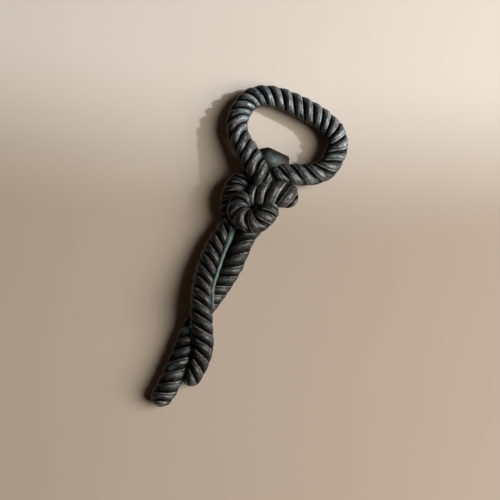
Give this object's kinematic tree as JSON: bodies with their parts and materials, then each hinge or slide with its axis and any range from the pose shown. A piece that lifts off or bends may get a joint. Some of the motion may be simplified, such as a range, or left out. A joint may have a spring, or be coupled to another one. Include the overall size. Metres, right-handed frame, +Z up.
{
  "type": "rope knot bottle opener",
  "caption": "Cast bronze bottle opener in the form of a knotted rope, with an oval loop head, a flat pry lip inside it and two twisted rope tails as the handle.",
  "frame": {"origin": "under the middle of the opener's box, on the surface that the opener lies on with its rosette upward", "axes": "+X across the opener, +Y from the handle to the loop head, +Z up, towards the side with the rosette"},
  "size_m": [0.0552, 0.1498, 0.017],
  "materials": {
    "patinated_bronze": "near-black brown patina, semi-gloss, with greyer worn strand crests",
    "verdigris_bronze": "matt dark patina with a thin grey-green verdigris bloom"
  },
  "bodies": {
    "root": {"head_loop": "patinated_bronze", "side_bight": "patinated_bronze", "front_turn": "patinated_bronze", "back_turn": "patinated_bronze", "left_turn": "patinated_bronze", "short_tail": "patinated_bronze", "long_tail": "patinated_bronze", "pry_lip": "verdigris_bronze"}
  },
  "joints": []
}
